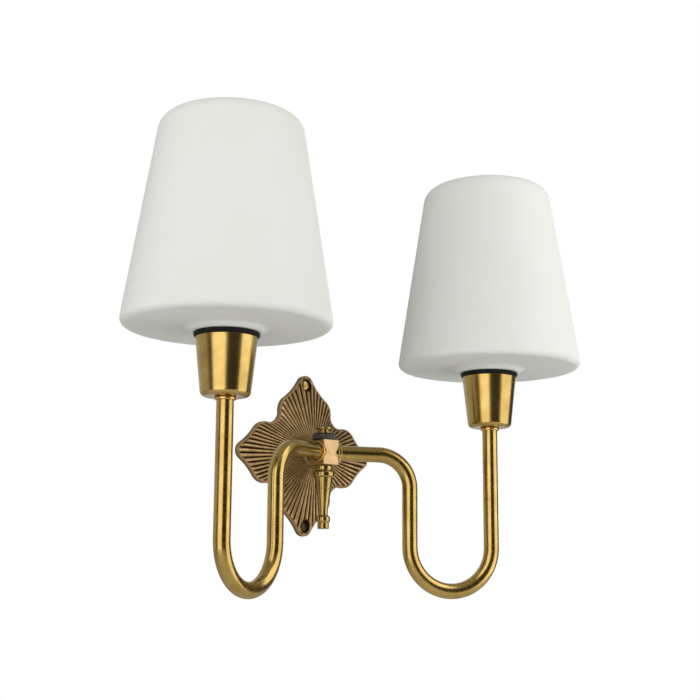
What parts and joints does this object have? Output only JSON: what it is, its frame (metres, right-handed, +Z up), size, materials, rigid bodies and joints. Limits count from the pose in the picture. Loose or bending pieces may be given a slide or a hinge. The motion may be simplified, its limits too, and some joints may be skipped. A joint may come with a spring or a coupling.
{
  "type": "double arm wall sconce",
  "caption": "Wall light with a fluted leaf-shaped cast plate, swan-neck tube arms swept forward from a hub block, and upright opal glass shades open at the top.",
  "frame": {"origin": "on the wall, at the middle of the plate's back, halfway between the two screw holes", "axes": "+Z up, +Y into the wall, +X along the wall to the right as seen by someone facing the light"},
  "size_m": [0.4006, 0.1547, 0.3345],
  "materials": {
    "antique_brass": "satin antique brass, lacquered",
    "brushed_brass": "brushed, matt",
    "bright_brass": "polished",
    "contact_brass": "plain pressed brass",
    "nickel_brass": "nickel-plated",
    "steel": "zinc-plated",
    "blackened_steel": "blackened, satin",
    "black_plastic": "fine matt",
    "opal_glass": "matt opal, nearly opaque",
    "frosted_glass": "frosted"
  },
  "bodies": {
    "fixture": {"wall_plate": "antique_brass", "stem_nipple": "steel", "stem_nut": "steel", "hub_block": "brushed_brass", "hub_stud": "steel", "knurled_nut": "blackened_steel", "top_knob": "antique_brass", "finial": "antique_brass", "left_arm_ferrule": "blackened_steel", "left_arm_tube": "antique_brass", "left_cup_collar": "bright_brass", "left_cup": "antique_brass", "left_cup_nut": "steel", "left_cup_nipple": "steel", "left_lampholder": "black_plastic", "left_socket_shell": "contact_brass", "left_socket_contact": "contact_brass", "left_seat_ring": "black_plastic", "right_arm_ferrule": "blackened_steel", "right_arm_tube": "antique_brass", "right_cup_collar": "bright_brass", "right_cup": "antique_brass", "right_cup_nut": "steel", "right_cup_nipple": "steel", "right_lampholder": "black_plastic", "right_socket_shell": "contact_brass", "right_socket_contact": "contact_brass", "right_seat_ring": "black_plastic"},
    "left_shade": {"left_shade": "opal_glass"},
    "left_ring": {"left_clamp_ring": "black_plastic"},
    "left_bulb": {"left_bulb_cap": "nickel_brass", "left_bulb_glass": "frosted_glass"},
    "right_shade": {"right_shade": "opal_glass"},
    "right_ring": {"right_clamp_ring": "black_plastic"},
    "right_bulb": {"right_bulb_cap": "nickel_brass", "right_bulb_glass": "frosted_glass"}
  },
  "joints": [
    {"name": "left_shade_lift", "type": "slide", "parent": "fixture", "child": "left_shade", "axis": [0, 0, 1], "range_m": [0, 0.08]},
    {"name": "left_ring_turn", "type": "hinge", "parent": "left_shade", "child": "left_ring", "pos_m": [-0.12703, -0.08146, 0.076], "axis": [0, 0, 1], "continuous": true},
    {"name": "left_bulb_turn", "type": "hinge", "parent": "fixture", "child": "left_bulb", "pos_m": [-0.12703, -0.08146, 0.07], "axis": [0, 0, 1], "continuous": true},
    {"name": "right_shade_lift", "type": "slide", "parent": "fixture", "child": "right_shade", "axis": [0, 0, 1], "range_m": [0, 0.08]},
    {"name": "right_ring_turn", "type": "hinge", "parent": "right_shade", "child": "right_ring", "pos_m": [0.12703, -0.08146, 0.076], "axis": [0, 0, 1], "continuous": true},
    {"name": "right_bulb_turn", "type": "hinge", "parent": "fixture", "child": "right_bulb", "pos_m": [0.12703, -0.08146, 0.07], "axis": [0, 0, 1], "continuous": true}
  ]
}
